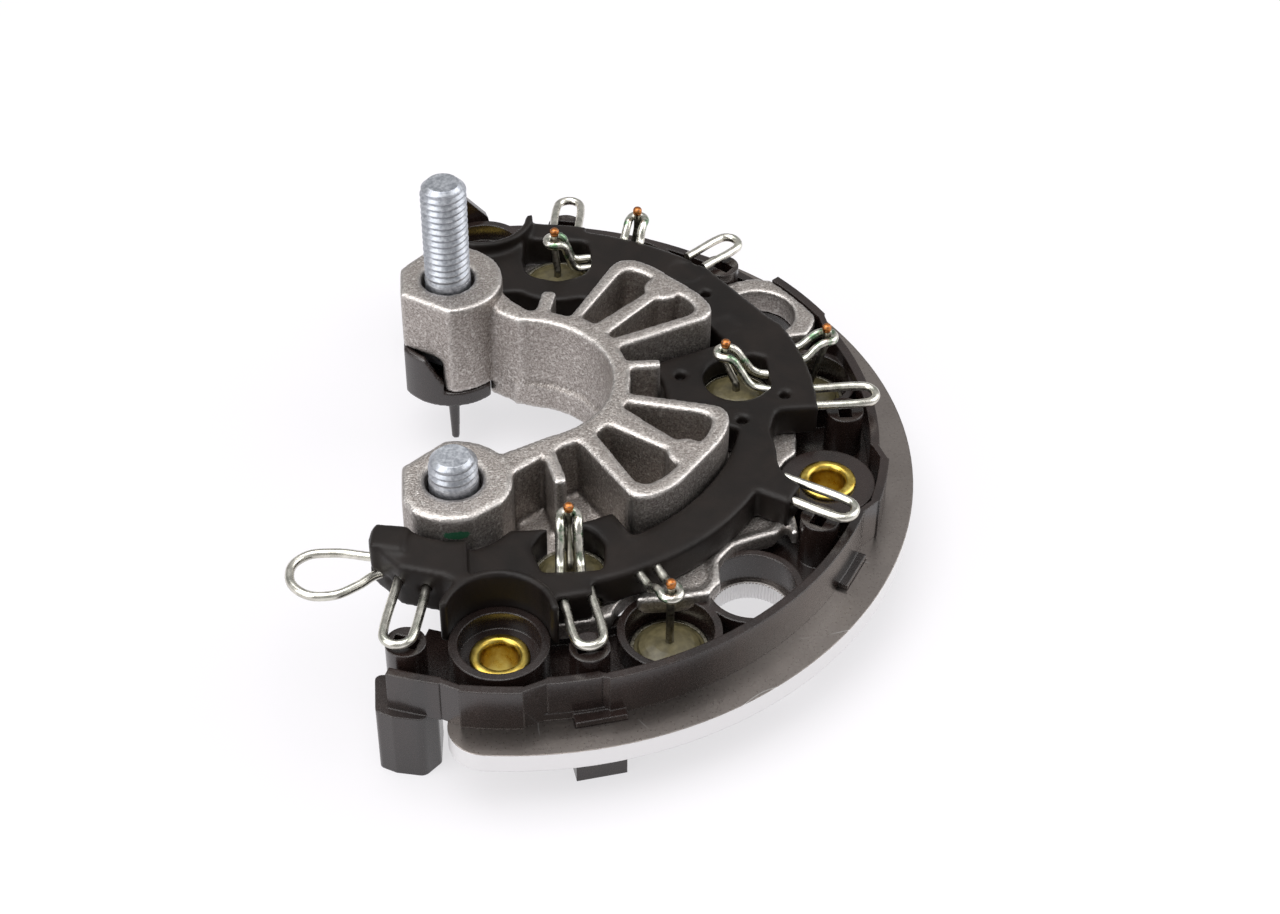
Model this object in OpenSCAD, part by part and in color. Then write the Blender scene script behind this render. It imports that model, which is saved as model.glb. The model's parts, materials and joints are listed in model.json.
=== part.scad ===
// Alternator rectifier.
//
// Three press-fit diodes sit in a cast positive heat sink with a horseshoe hub and two fan-shaped
// fin loops. Three more sit in a flat crescent, the negative plate. A moulded ring lies on the
// plate and guides the stator wires, and a moulded frame lies on the heat sink and holds the bent
// wires that are welded to the diodes. Z = 0 is the top face of the negative plate, the Z axis is
// the axis of the hub, and the horseshoe opens towards -X.

/* [Negative plate] */
// Outer radius of the crescent
plate_r = 66.5; // [64:0.5:72]
// Inner radius of the crescent
plate_in_r = 43; // [41:0.5:44]
// Thickness of the sheet
plate_t = 3.5; // [2.5:0.1:5]
// Angle from the X axis to each end
plate_half_angle = 103; // [98:1:106]
// Radius of the corner at each end
plate_corner_r = 6; // [3:0.5:8]

/* [Diodes] */
// Radius of a press-fit diode and of its bore
diode_r = 6.385; // [6:0.05:6.6]
// Height of a diode's can
diode_h = 6.2; // [5:0.1:7]
// Wall of a diode's can
diode_wall = 0.8; // [0.5:0.05:1]
// Depth of the hollow that holds the potting
cup_depth = 3; // [2:0.1:4]
// Radius of a diode's lead
lead_r = 0.65; // [0.5:0.05:0.8]
// Radius from the hub axis to the negative diodes
negative_diode_ring = 51.7; // [50:0.1:53]
// Height of a negative diode's rim above the plate
negative_rim = 1.6; // [0.5:0.1:2.5]
// Height of a positive diode's rim above the flange
positive_rim = 1.8; // [1:0.1:3]

/* [Heat sink] */
// Inner radius of the horseshoe hub
hub_r = 15.3; // [14.5:0.1:16]
// Thickness of the hub's wall
hub_wall = 3.1; // [2.5:0.1:4]
// Top of the hub and of the fins
hub_top = 18; // [16:0.5:20]
// Bottom of the hub
hub_bottom = -1; // [-2:0.1:1]
// Outer radius of the fin loops
fin_r = 37.4; // [35:0.1:38.5]
// Thickness of a fin
fin_t = 2.5; // [2:0.1:3.5]
// Top of the base flange
flange_top = 6.6; // [6:0.1:7.5]
// Thickness of the base flange
flange_t = 3.4; // [2.5:0.1:4]
// Outer radius of the base flange
flange_r = 46.4; // [45:0.1:47.5]

/* [Terminal studs] */
// Nominal thread diameter
stud_d = 8; // [6:1:8]
// Distance of a stud from the symmetry plane
stud_y = 24.3; // [23.5:0.1:25]
// Distance of a stud behind the hub axis
stud_x = -11.3; // [-12:0.1:-10.5]
// Radius of a boss
boss_r = 9.4; // [8.5:0.1:10]
// Top of the boss of the long stud
long_boss_top = 20.8; // [19:0.1:22]
// Top of the boss of the short stud
short_boss_top = 18.2; // [17:0.1:19]
// Height of the long stud above its boss
long_stud_h = 21; // [15:0.5:30]
// Height of the short stud above its boss
short_stud_h = 6; // [5:0.5:12]

/* [Ring] */
// Outer radius of the ring's wall
wall_r = 60.2; // [59:0.1:62]
// Thickness of the ring's wall
wall_t = 1.5; // [1.2:0.1:2]
// Height of the wall above the plate
wall_h = 7.9; // [7:0.1:9]
// Height of the wall at the back
low_wall_h = 5.2; // [4:0.1:6.5]
// Thickness of the ring's floor
ring_floor_t = 1.4; // [1:0.1:2]
// Outer radius of a wire guide tube
tube_r = 3.15; // [2.8:0.05:3.4]
// Height of a tube above the plate
tube_h = 9.7; // [8.5:0.1:10.5]
// Radius from the hub axis to the tubes
tube_ring = 54.6; // [54:0.1:55.4]
// Distance from the plate's top face to the feet
foot_drop = 12.3; // [10:0.1:14]

/* [Frame] */
// Top of the frame
frame_top = 12.5; // [12:0.1:13.5]
// Outer radius of the frame
frame_r = 49.8; // [48.5:0.1:50.5]

/* [Wires] */
// Radius of the bent wire
wire_r = 0.75; // [0.6:0.05:0.9]
// Length of wire inside the frame
wire_root = 2; // [1:0.1:2.2]

/* [Rivets] */
// Radius of an eyelet's flange
rivet_flange_r = 4.7; // [4:0.1:5.2]
// Inner radius of an eyelet
rivet_bore_r = 2.8; // [2.4:0.1:3]
// Wall of an eyelet
rivet_wall = 0.5; // [0.4:0.05:0.7]

/* [Fits] */
// Gap between a pressed or moulded-in piece and its seat
press_gap = 0.02; // [0.01:0.01:0.04]
// Gap between pieces that are laid together
seat_gap = 0.05; // [0.02:0.01:0.1]
// Gap between the frame and the fins
fin_gap = 0.9; // [0.5:0.1:1.2]

/* [Hidden] */
$fn = 64;

corner_steps = 4;
past = 1;
hub_out = hub_r + hub_wall;
flange_bottom = flange_top - flange_t;
boss_bottom = 9.3;
boss_foot = 2.6;
boss_flat = 8.2;
stud_hole_r = stud_d / 2 + 0.6;
stud_shank_r = stud_d / 2 + 0.15;
stud_head_r = 6.2;
stud_head_h = 3.6;
frame_bottom = flange_top + seat_gap;
wire_z = frame_top - 1.4;
end_top = frame_top + 2.4;
collar_r = 7.9;
well_clear = 0.6;
well_wall = 1.2;
well_r = diode_r + well_clear + well_wall;
scallop_r = well_r + 1.1;
eye = polar(51.2, 32);
eye_r = 6.4;
eye_out = 10.1;
wall_bulge = 1;
eye_top = 8;

// Places of the diodes, the empty seat, the rivets and the wire guides
negative_seats = [for (a = [-66, 12.5, 65]) polar(negative_diode_ring, a)];
empty_seat = polar(52, -48);
positive_seats = [[8.2, 38], [36.8, 4.2], [6.3, -37.4]];
left_rivet = polar(50.8, -96);
right_rivet = polar(52.4, -18.2);
far_rivet = polar(50.8, 95.5);
guides = [for (a = [79, 46, -31, -81.3, -2.2, -110.8]) polar(tube_ring, a)];

function polar(r, a) = [r * cos(a), r * sin(a)];
function unit(v) = v / norm(v);
function turn(v, t) = [v.x * cos(t) - v.y * sin(t), v.x * sin(t) + v.y * cos(t)];

// Points of the arc of radius r that rounds the corner b between a and c
function arc_at(a, b, c, r) =
    let (u = unit(a - b), v = unit(c - b), half = acos(u * v) / 2,
         middle = b + unit(u + v) * r / sin(half),
         from = b + u * r / tan(half) - middle, to = b + v * r / tan(half) - middle,
         sweep = sign(from.x * to.y - from.y * to.x) * (180 - 2 * half))
    [for (i = [0 : corner_steps]) middle + turn(from, sweep * i / corner_steps)];

// Outline whose corners are given as x, y and radius
module rounded(p) {
    n = len(p);
    flat = [for (q = p) [q.x, q.y]];
    polygon([for (i = [0 : n - 1]) each arc_at(flat[(i + n - 1) % n], flat[i], flat[(i + 1) % n], p[i][2])]);
}

module slab(z0, z1) {
    translate([0, 0, z0]) linear_extrude(z1 - z0) children();
}

module at(p, z = 0) {
    translate([p.x, p.y, z]) children();
}

module wedge(r, a0, a1) {
    steps = ceil((a1 - a0) / 30);
    polygon(concat([[0, 0]], [for (i = [0 : steps]) polar(r * 1.2, a0 + (a1 - a0) * i / steps)]));
}

module sector(r0, r1, a0, a1) {
    intersection() {
        difference() {
            circle(r1, $fn = 180);
            circle(r0, $fn = 180);
        }
        wedge(r1, a0, a1);
    }
}

// Places the children's Z axis along d and starts them at p
module along(p, d) {
    z = unit(d);
    x = unit(cross(abs(z.z) < 0.9 ? [0, 0, 1] : [1, 0, 0], z));
    y = cross(z, x);
    multmatrix([[x.x, y.x, z.x, p.x], [x.y, y.y, z.y, p.y], [x.z, y.z, z.z, p.z]]) children();
}

// Straight round wire from p to q, slightly thinner than the bends that it runs into
module straight_wire(p, q, r) {
    along(p, q - p) cylinder(h = norm(q - p), r = r - 0.01, $fn = 20);
}

// Part of a bend about the middle m, from the start s in the direction d
module wire_bend(m, s, d, sweep, r) {
    x = unit(s - m);
    z = cross(x, d);
    multmatrix([[x.x, d.x, z.x, m.x], [x.y, d.y, z.y, m.y], [x.z, d.z, z.z, m.z]])
        rotate_extrude(angle = sweep, $fn = 64) translate([norm(s - m), 0]) circle(r, $fn = 20);
}

// Round wire through the points p, bent with radius b at each inner point
module wire(p, b, r) {
    n = len(p);
    lap = 0.1;
    for (i = [0 : n - 2]) {
        u = unit(p[i + 1] - p[i]);
        t0 = i == 0 ? 0 : b * tan(acos(unit(p[i] - p[i - 1]) * u) / 2) - lap;
        t1 = i == n - 2 ? 0 : b * tan(acos(u * unit(p[i + 2] - p[i + 1])) / 2) - lap;
        straight_wire(p[i] + u * t0, p[i + 1] - u * t1, r);
    }
    for (i = [1 : 1 : n - 2]) {
        u = unit(p[i] - p[i - 1]);
        v = unit(p[i + 1] - p[i]);
        sweep = acos(u * v);
        s = p[i] - u * b * tan(sweep / 2);
        wire_bend(s + b * unit(v - (v * u) * u), s, u, sweep, r);
    }
}

// Two legs of wire joined by a half turn at their ends
module hairpin(legs) {
    p = legs[0];
    q = legs[1];
    k = len(p) - 1;
    d = unit(p[k] - p[k - 1]);
    wire(concat([for (i = [0 : k - 1]) p[i]], [p[k] + 0.1 * d]), leg_bend, wire_r);
    wire(concat([for (i = [0 : k - 1]) q[i]], [q[k] + 0.1 * d]), leg_bend, wire_r);
    wire_bend((p[k] + q[k]) / 2, p[k], d, 180, wire_r);
}

// Heat sink
module pocket(r_in, in0, in1, r_out, out0, out1) {
    rounded([[each polar(r_in, in0), 0.4], [each polar(r_out, out0), 2.2],
             [each polar(r_out / cos((out1 - out0) / 2), (out0 + out1) / 2), 8],
             [each polar(r_out, out1), 2.2], [each polar(r_in, in1), 0.4]]);
}

module fin_loop(r, a0, a1) {
    root_r = hub_out - 0.9;
    rounded([[each polar(root_r, a0), 0.3], [each polar(r, a0), 3.4],
             [each polar(r / cos((a1 - a0) / 4), (3 * a0 + a1) / 4), 14],
             [each polar(r / cos((a1 - a0) / 4), (a0 + 3 * a1) / 4), 14],
             [each polar(r, a1), 3.4], [each polar(root_r, a1), 0.3]]);
}

module stub_fin(a, r0, r1, t) {
    rotate(a) translate([r0, -t / 2]) square([r1 - r0, t]);
}

module boss_outline(s) {
    difference() {
        at([stud_x, s * stud_y]) circle(boss_r, $fn = 96);
        translate([stud_x - boss_flat - boss_r, s * stud_y - boss_r])
            square([boss_r, 2 * boss_r]);
    }
}

// Start of a line that leaves a circle at c towards e, moved back into the circle
function from_inside(c, e) = c + unit(c - e) * 4;

module hub_outline() {
    ends = [[88, 1], [-75, -1]];
    inner = [for (e = ends) [stud_x + 6.6, e[1] * (stud_y - 5.3)]];
    outer = [for (e = ends) [stud_x + 8.6, e[1] * (stud_y - 0.5)]];
    difference() {
        union() {
            circle(hub_out, $fn = 180);
            for (i = [0, 1]) polygon([from_inside(polar(hub_out, ends[i][0] - 4 * ends[i][1]), outer[i]),
                                      outer[i], [inner[i].x, outer[i].y], inner[i], [-2, 0]]);
        }
        circle(hub_r, $fn = 180);
        polygon([from_inside(polar(hub_r, ends[0][0]), inner[0]), inner[0], [-40, inner[0].y],
                 [-40, inner[1].y], inner[1], from_inside(polar(hub_r, ends[1][0]), inner[1])]);
    }
}

module eye_outline(gap = 0) {
    intersection() {
        at(eye) circle(eye_out + gap, $fn = 96);
        circle(wall_r + wall_bulge - wall_t - 0.3 + gap, $fn = 180);
    }
}

module flange_outline() {
    difference() {
        union() {
            sector(hub_r + 1, flange_r, -93, 91);
            eye_outline();
        }
        for (p = concat(negative_seats, [empty_seat])) at(p) circle(scallop_r, $fn = 72);
        for (p = [left_rivet, right_rivet, far_rivet]) at(p) circle(8.4, $fn = 72);
    }
}

module positive_heat_sink() {
    lower_r = fin_r - 1.6;
    color("silver") difference() {
        union() {
            slab(hub_bottom, hub_top) hub_outline();
            slab(flange_top - past, hub_top) {
                difference() {
                    fin_loop(fin_r + 0.4, 23.2, 60);
                    pocket(hub_out + 0.8, 45.6, 54.6, fin_r + 0.4 - fin_t, 43.6, 56.2);
                    pocket(hub_out + 0.5, 30.8, 35.6, fin_r + 0.4 - fin_t, 26.8, 40.2);
                }
                difference() {
                    fin_loop(lower_r, -61.5, -15.5);
                    pocket(hub_out + 0.2, -26.8, -22.6, lower_r - fin_t, -36, -19.6);
                    pocket(hub_out + 0.2, -51, -42, lower_r - fin_t, -57.4, -39.9);
                }
                at(polar(fin_r - 3, 41.7)) circle(3.2, $fn = 48);
                at(polar(lower_r - 3.2, -37.5)) circle(3.2, $fn = 48);
                translate([hub_out - past, 1.5]) square([23.6 - hub_out + past, 2]);
                stub_fin(-78, hub_out - past, 26.5, 2.2);
                stub_fin(75.2, hub_out - past, 24, 2.5);
            }
            slab(flange_bottom, flange_top) flange_outline();
            slab(flange_top - past, eye_top) difference() {
                eye_outline();
                at(negative_seats[1]) circle(scallop_r + 0.05, $fn = 72);
            }
            slab(boss_bottom, long_boss_top) boss_outline(1);
            slab(boss_bottom, short_boss_top) boss_outline(-1);
            slab(boss_foot, hub_top) for (s = [1, -1]) intersection() {
                boss_outline(s);
                translate([stud_x - 1.5, s * stud_y - boss_r]) square([2 * boss_r, 2 * boss_r]);
            }
        }
        slab(boss_foot - past, long_boss_top + past) for (s = [1, -1])
            at([stud_x, s * stud_y]) circle(stud_hole_r, $fn = 64);
        slab(boss_foot - past, boss_bottom) for (s = [1, -1])
            at([stud_x, s * stud_y]) circle(stud_head_r + 0.3, $fn = 64);
        slab(flange_bottom - past, flange_top + past) for (p = positive_seats)
            at(p) circle(diode_r + press_gap, $fn = 72);
        slab(flange_bottom - past, eye_top + past) at(eye) circle(eye_r, $fn = 72);
    }
}

// Negative plate
module plate_outline() {
    c = plate_corner_r;
    trim = asin(c / (plate_r - c));
    sector(plate_in_r, plate_r - c, -plate_half_angle, plate_half_angle);
    sector(plate_in_r, plate_r, trim - plate_half_angle, plate_half_angle - trim);
    for (s = [1, -1]) rotate(s * (plate_half_angle - trim)) translate([plate_r - c, 0])
        circle(c, $fn = 64);
}

far_end = 104;
foot_angles = [-81, -31, 51, 99.5];
foot_in = 57;
foot_out = 61.6;

module foot_outline(gap = 0) {
    for (a = foot_angles) rotate(a) translate([foot_in - gap, -4 - gap])
        square([foot_out - foot_in + 2 * gap, 8 + 2 * gap]);
}

module negative_plate() {
    color("lightgray") slab(-plate_t, 0) difference() {
        plate_outline();
        for (p = concat(negative_seats, [empty_seat])) at(p) circle(diode_r + press_gap, $fn = 72);
        for (p = [left_rivet, right_rivet, far_rivet])
            at(p) circle(rivet_bore_r + rivet_wall + seat_gap, $fn = 48);
        for (p = guides) at(p) circle(tube_r + seat_gap, $fn = 48);
        at(eye) circle(eye_r, $fn = 72);
        foot_outline(seat_gap);
    }
}

// Ring
wall_stretches = [[-112, -104, wall_r], [-101, -92, wall_r + wall_bulge], [-88.5, -80.5, wall_r - 0.6],
                  [-79.5, -25, wall_r], [-22, -12, wall_r + 1.7], [-9, 22.5, wall_r],
                  [25.5, 38, wall_r + wall_bulge]];
low_stretches = [[25.5, 38, wall_r + wall_bulge], [41, far_end, wall_r]];

ramp_inset = 0.2;
ramp_lap = 0.1;

// Arcs of wall, and straight pieces whose ends lie inside the arcs that they join
module wall(stretches) {
    for (w = stretches) sector(w[2] - wall_t, w[2], w[0], w[1]);
    for (i = [1 : 1 : len(stretches) - 1]) {
        w = stretches[i - 1];
        v = stretches[i];
        polygon([polar(w[2] - ramp_inset, w[1] - ramp_lap), polar(v[2] - ramp_inset, v[0] + ramp_lap),
                 polar(v[2] - wall_t + ramp_inset, v[0] + ramp_lap),
                 polar(w[2] - wall_t + ramp_inset, w[1] - ramp_lap)]);
    }
}

module leg_outlines() {
    rounded([[-24.6, -49, 1], [-24.5, -56.4, 1], [-22, -57.8, 1], [-17.6, -58.8, 1.5],
             [-15, -56.2, 1], [-14.6, -49, 1]]);
    rounded([[-20.6, 45.5, 1], [-20.6, 51.8, 1], [-14.6, 53.5, 1], [-14.6, 46.5, 1]]);
}

// Raised tab that ends the wall, with a sloping side
module end_tab() {
    rotate(far_end) translate([wall_r - wall_t - 0.1, -0.2, 0]) rotate([90, 0, 90])
        linear_extrude(wall_t + 0.2) polygon([[-12, 0], [-10.5, wall_h], [-5, 14.5], [0, 14.5], [0, 0]]);
}

module carrier_ring() {
    rib_r = plate_in_r + 0.6;
    color("dimgray") difference() {
        union() {
            slab(0, ring_floor_t) {
                sector(rib_r, wall_r - 0.5, -111.8, far_end - 0.4);
                at(right_rivet) circle(9, $fn = 64);
                at(left_rivet) circle(9, $fn = 64);
                eye_outline(0.2);
            }
            slab(0, wall_h) wall(wall_stretches);
            slab(0, low_wall_h) wall(low_stretches);
            end_tab();
            slab(0, flange_bottom - seat_gap) {
                sector(rib_r, rib_r + 2, -93, 91);
                at(eye) circle(eye_out - 2.5, $fn = 64);
            }
            slab(0, 5.5) for (p = concat(negative_seats, [empty_seat])) at(p) circle(well_r, $fn = 72);
            slab(0, wall_h) for (p = [left_rivet, far_rivet]) at(p) circle(7.75, $fn = 72);
            slab(0, 6.5) at(right_rivet) circle(7.86, $fn = 72);
            slab(-plate_t - 1.2, tube_h) for (p = guides) at(p) circle(tube_r, $fn = 48);
            slab(-foot_drop, past) foot_outline();
            slab(-foot_drop, 0.5) leg_outlines();
            slab(0, ring_floor_t) translate([-20.4, 46.2]) square([7.8, 5]);
        }
        slab(-past, 5.5 + past) for (p = concat(negative_seats, [empty_seat]))
            at(p) circle(diode_r + well_clear, $fn = 72);
        slab(4.5, wall_h + past) for (p = [left_rivet, far_rivet]) at(p) circle(6.4, $fn = 72);
        slab(-past, wall_h) for (p = [left_rivet, far_rivet, right_rivet])
            at(p) circle(rivet_bore_r + rivet_wall + seat_gap, $fn = 48);
        slab(-past, flange_bottom) at(eye) circle(eye_r, $fn = 72);
        slab(ring_floor_t, flange_top) for (p = positive_seats) at(p) circle(diode_r + 0.4, $fn = 64);
        for (p = guides) at(p) rotate(atan2(p.y, p.x)) slab(-foot_drop - past, tube_h + past)
            square([2.2, 4], center = true);
    }
}

// Frame
module frame_outline() {
    difference() {
        union() {
            sector(34, frame_r, -97, 84);
            sector(40, frame_r + 1.4, 74, 88);
            sector(30.5, 48, 60, 100);
            sector(24.4, 40, -19, 23);
            sector(30.5, 40, -97, -58);
            sector(31, 40, 60, 92);
            at(positive_seats[0]) circle(10.4, $fn = 72);
            end_block();
        }
        intersection() {
            circle(fin_r + 0.4 + fin_gap, $fn = 144);
            rotate(21.5) polygon([[0, 0], [60, 0], [60, 60 * tan(40)]]);
        }
        intersection() {
            circle(fin_r - 1.6 + fin_gap, $fn = 144);
            rotate(-63.5) polygon([[0, 0], [60, 0], [60, 60 * tan(50)]]);
        }
        at(right_rivet) circle(8.6, $fn = 72);
        rounded([[52, -4.2, 1], [42.5, -4.4, 1.5], [41, -9, 2], [41.4, -15, 2], [44, -20, 1.5],
                 [60, -20, 1]]);
        intersection() {
            rotate(-87) square([70, 70]);
            union() {
                sector(44, 60, -78, -33);
                sector(46.2, 60, -88, -77);
            }
        }
        rounded([[60, 15, 1], [48.6, 16, 1], [44.6, 20.4, 2], [35.6, 34.4, 2], [34.4, 39.4, 2],
                 [29, 43.4, 3], [27.6, 60, 1], [60, 60, 1]]);
    }
}

// Half disc beside a rivet, on the side of the hub
module collar(p) {
    intersection() {
        at(p) circle(collar_r + 1.3, $fn = 72);
        at(p) rotate(atan2(p.y, p.x) - 90) translate([-20, -21]) square([40, 20]);
    }
}

module end_block() {
    rounded([[-24.9, -34, 1.2], [-24.3, -30.8, 1.2], [-16, -31.2, 1], [0, -31, 1], [0, -46, 1],
             [-9, -46, 1], [-13.1, -42.5, 1.5], [-20, -40.2, 1.2]]);
}

module windows() {
    rounded([[2.6, 46, 1.2], [13.9, 44.6, 1.2], [14.2, 38.8, 1], [13.4, 35, 4], [8, 33.2, 4], [2.6, 35.4, 3],
             [2, 40, 2]]);
    rounded([[0.4, -34.6, 2], [2.6, -30.4, 3], [9.4, -30.4, 3], [11.8, -34.6, 2], [11.2, -40.1, 0.8],
             [1.8, -40.1, 0.8]]);
    at(positive_seats[1]) circle(5.6, $fn = 64);
    rounded([[36, 1, 0.6], [42.3, 1, 0.6], [42.3, 9.6, 0.8], [40, 10.4, 0.8], [36, 9, 0.6]]);
}

module terminal_frame() {
    color([0.2, 0.2, 0.2]) difference() {
        union() {
            slab(frame_bottom, frame_top) frame_outline();
            slab(frame_bottom, end_top) difference() {
                end_block();
                translate([-9.6, -60]) square([40, 60]);
            }
            slab(frame_bottom, end_top) for (p = [left_rivet, far_rivet]) collar(p);
        }
        slab(frame_bottom - past, frame_top + 3) {
            windows();
            for (s = [1, -1]) at([stud_x, s * stud_y]) circle(boss_r + fin_gap, $fn = 96);
        }
        slab(frame_bottom - past, end_top + past) for (p = [left_rivet, far_rivet])
            at(p) circle(collar_r, $fn = 72);
        slab(frame_bottom - past, eye_top + seat_gap) eye_outline(0.3);
        slab(frame_bottom - past, positive_top + 0.15) for (p = positive_seats)
            at(p) circle(diode_r + 0.3, $fn = 72);
        slab(frame_bottom, positive_top + dome + 0.1) for (p = positive_seats)
            at(p) circle(cup_r + 0.1, $fn = 72);
        for (w = stator_wires) wire_seat(w);
        for (w = weld_wires) wire_seat(w);
        wire_seat(field_wire);
    }
}

// Legs of a flat loop that leaves the frame at p and q and turns round the point e
function flat_loop(p, q, e, z) =
    let (m = (p + q) / 2, d = unit(e - m), n = [-d.y, d.x], h = (p - m) * n)
    [[[each (m + n * h - d * wire_root), z], [each (e + n * h), z]],
     [[each (m - n * h - d * wire_root), z], [each (e - n * h), z]]];

// Legs that leave the frame flat, rise at the distance run and end over the point e
function raised_loop(p, q, e, run, z0, z1, half) =
    let (m = (p + q) / 2, c = [e.x, e.y], d = unit(c - m), n = [-d.y, d.x], h = (p - m) * n,
         k = sign(h) * half)
    [[[each (m + n * h - d * wire_root), z0], [each (m + n * h + d * run), z0],
      [each (c + n * k - d * run), z1], [each (c + n * k), z1]],
     [[each (m - n * h - d * wire_root), z0], [each (m - n * h + d * run), z0],
      [each (c - n * k - d * run), z1], [each (c - n * k), z1]]];

leg_bend = 1.2;
stator_wires = [flat_loop([7.7, 48], [12.1, 47.6], [11.3, 57], wire_z),
                flat_loop([33, 41.4], [36, 38.4], [39.4, 43.8], wire_z),
                flat_loop([43.4, -20.6], [41.2, -24.4], [50.2, -27.8], wire_z),
                flat_loop([4.7, -44.6], [9.1, -44.4], [8.2, -53], wire_z),
                flat_loop([48.9, 2], [48.9, -2.4], [57.8, 0], wire_z),
                flat_loop([-20.2, -38.6], [-15.8, -40], [-20.4, -50.6], wire_z)];

weld_half = lead_r + wire_r + 0.05;
crossings = [[each negative_seats[0], 13.5], [53.2, 12.8, 13.5], [23.4, 49, 13.5], [7.8, 39.4, 16.5],
             [35, 6.6, 16], [6.3, -33, 17]];
weld_starts = [[[17.4, -41.8], [20.2, -40.6]], [[46.8, 12.6], [47.4, 9.2]], [[22.9, 43.2], [20.1, 44.6]],
               [[13.6, 41.2], [13.4, 38.2]], [[41.8, 2.4], [41.8, 6.6]], [[4.5, -39.8], [7.9, -39.8]]];
weld_wires = [for (i = [0 : 5]) raised_loop(weld_starts[i][0], weld_starts[i][1], crossings[i], 2,
                                            wire_z, crossings[i].z, weld_half)];

field_wire = flat_loop([-24, -34.2], [-22.6, -37.8], [-33, -36.6], wire_z - 1.5);

module wire_seat(legs) {
    for (p = legs) along(p[0], p[1] - p[0]) translate([0, 0, -press_gap])
        cylinder(h = wire_root + 3, r = wire_r + press_gap, $fn = 24);
}

module bent_wire(w) {
    color("white") hairpin(w);
}

// Studs
module stud(top, boss_top) {
    color("gainsboro") rotate_extrude($fn = 72)
        polygon([[0, boss_bottom - stud_head_h], [stud_head_r - 0.6, boss_bottom - stud_head_h],
                 [stud_head_r, boss_bottom - stud_head_h + 0.6], [stud_head_r, boss_bottom - seat_gap],
                 [stud_shank_r, boss_bottom - seat_gap], [stud_shank_r, boss_top + 2.6],
                 [stud_d / 2 - 0.1, boss_top + 3], [stud_d / 2 - 0.1, top - 1.4],
                 [stud_d / 2 - 1.2, top - 0.2], [stud_d / 2 - 1.5, top], [stud_d / 2 - 1.9, top - 0.1],
                 [0, top - 0.6]]);
}

module stud_cap(s) {
    web_x = stud_x + 6.6 - seat_gap;
    difference() {
        union() {
            slab(boss_foot - 3, boss_foot - seat_gap) boss_outline(s);
            slab(boss_foot - seat_gap - past, boss_bottom - seat_gap) difference() {
                boss_outline(s);
                at([stud_x, s * stud_y]) circle(boss_r - 1.4, $fn = 72);
                translate([stud_x - 1.5 - seat_gap, s * stud_y - boss_r - 1])
                    square([2 * boss_r, 2 * boss_r + 2]);
            }
        }
        slab(boss_foot - 1.6, boss_foot) at([stud_x, s * stud_y]) circle(stud_head_r, $fn = 64);
        slab(boss_foot - 3 - past, boss_bottom) translate([web_x, s * stud_y - boss_r - 1])
            square([2 * boss_r, 2 * boss_r + 2]);
    }
}

module long_stud_cap() {
    color([0.25, 0.25, 0.25]) {
        stud_cap(1);
        at([stud_x, stud_y - 7.4], boss_foot - 3 - 8.6) cylinder(h = 8.6 + past, r1 = 0.7, r2 = 1.1, $fn = 32);
    }
}

module eyelet(p, z) {
    r = rivet_bore_r + rivet_wall;
    bottom = -plate_t - seat_gap;
    color("gold") at(p) rotate_extrude($fn = 64)
        polygon([[rivet_bore_r, bottom - rivet_wall], [r + 1.2, bottom - rivet_wall], [r + 1.2, bottom],
                 [r, bottom], [r, z + seat_gap], [rivet_flange_r, z + seat_gap],
                 [rivet_flange_r, z + seat_gap + rivet_wall * 0.6], [r, z + seat_gap + rivet_wall + 0.3],
                 [rivet_bore_r + 0.3, z + seat_gap + rivet_wall + 0.2], [rivet_bore_r, z + seat_gap]]);
}

// Diodes
negative_top = negative_rim;
positive_top = flange_top + positive_rim;
cup_r = diode_r - diode_wall;
dome = 1.5;

module can(p, top) {
    color("silver") at(p) rotate_extrude($fn = 72)
        polygon([[0, top - diode_h], [diode_r - 0.4, top - diode_h], [diode_r, top - diode_h + 0.4],
                 [diode_r, top - 0.3], [diode_r - 0.3, top], [cup_r, top], [cup_r, top - cup_depth],
                 [0, top - cup_depth]]);
}

module potting(p, top) {
    r = cup_r - press_gap;
    base = top - cup_depth + press_gap;
    color("olive") at(p) difference() {
        rotate_extrude($fn = 72)
            polygon(concat([[0, base], [r, base], [r, top - 0.2]],
                           [for (i = [0 : 4]) [(r - 0.5) * cos(i * 20), top + dome * sin(i * 20)]],
                           [[0, top + dome]]));
        translate([0, 0, base + 0.6]) cylinder(h = cup_depth + 4, r = lead_r + press_gap, $fn = 32);
    }
}

module lead(p, top, c) {
    foot = top - cup_depth + 0.6 + 2 * press_gap;
    tip = [c.x, c.y, c.z + 2.6];
    straight = norm([c.x - p.x, c.y - p.y]) < 0.5;
    color("white") wire(straight ? [[p.x, p.y, foot], tip]
                        : [[p.x, p.y, foot], [p.x, p.y, top + dome + 1], [c.x, c.y, c.z - 1.6], tip],
                        1.5, lead_r);
}

module long_stud() {
    at([stud_x, stud_y]) stud(long_boss_top + long_stud_h, long_boss_top);
}

module short_stud() {
    at([stud_x, -stud_y]) stud(short_boss_top + short_stud_h, short_boss_top);
}

module short_stud_cap() {
    color([0.25, 0.25, 0.25]) stud_cap(-1);
}

module rivet_left() {
    eyelet(left_rivet, 4.5);
}

module rivet_right() {
    eyelet(right_rivet, 6.5);
}

module rivet_far() {
    eyelet(far_rivet, 4.5);
}

module negative_can_1() {
    can(negative_seats[0], negative_top);
}

module positive_can_1() {
    can(positive_seats[0], positive_top);
}

module negative_potting_1() {
    potting(negative_seats[0], negative_top);
}

module positive_potting_1() {
    potting(positive_seats[0], positive_top);
}

module negative_lead_1() {
    lead(negative_seats[0], negative_top, crossings[0]);
}

module positive_lead_1() {
    lead(positive_seats[0], positive_top, crossings[3]);
}

module negative_can_2() {
    can(negative_seats[1], negative_top);
}

module positive_can_2() {
    can(positive_seats[1], positive_top);
}

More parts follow.
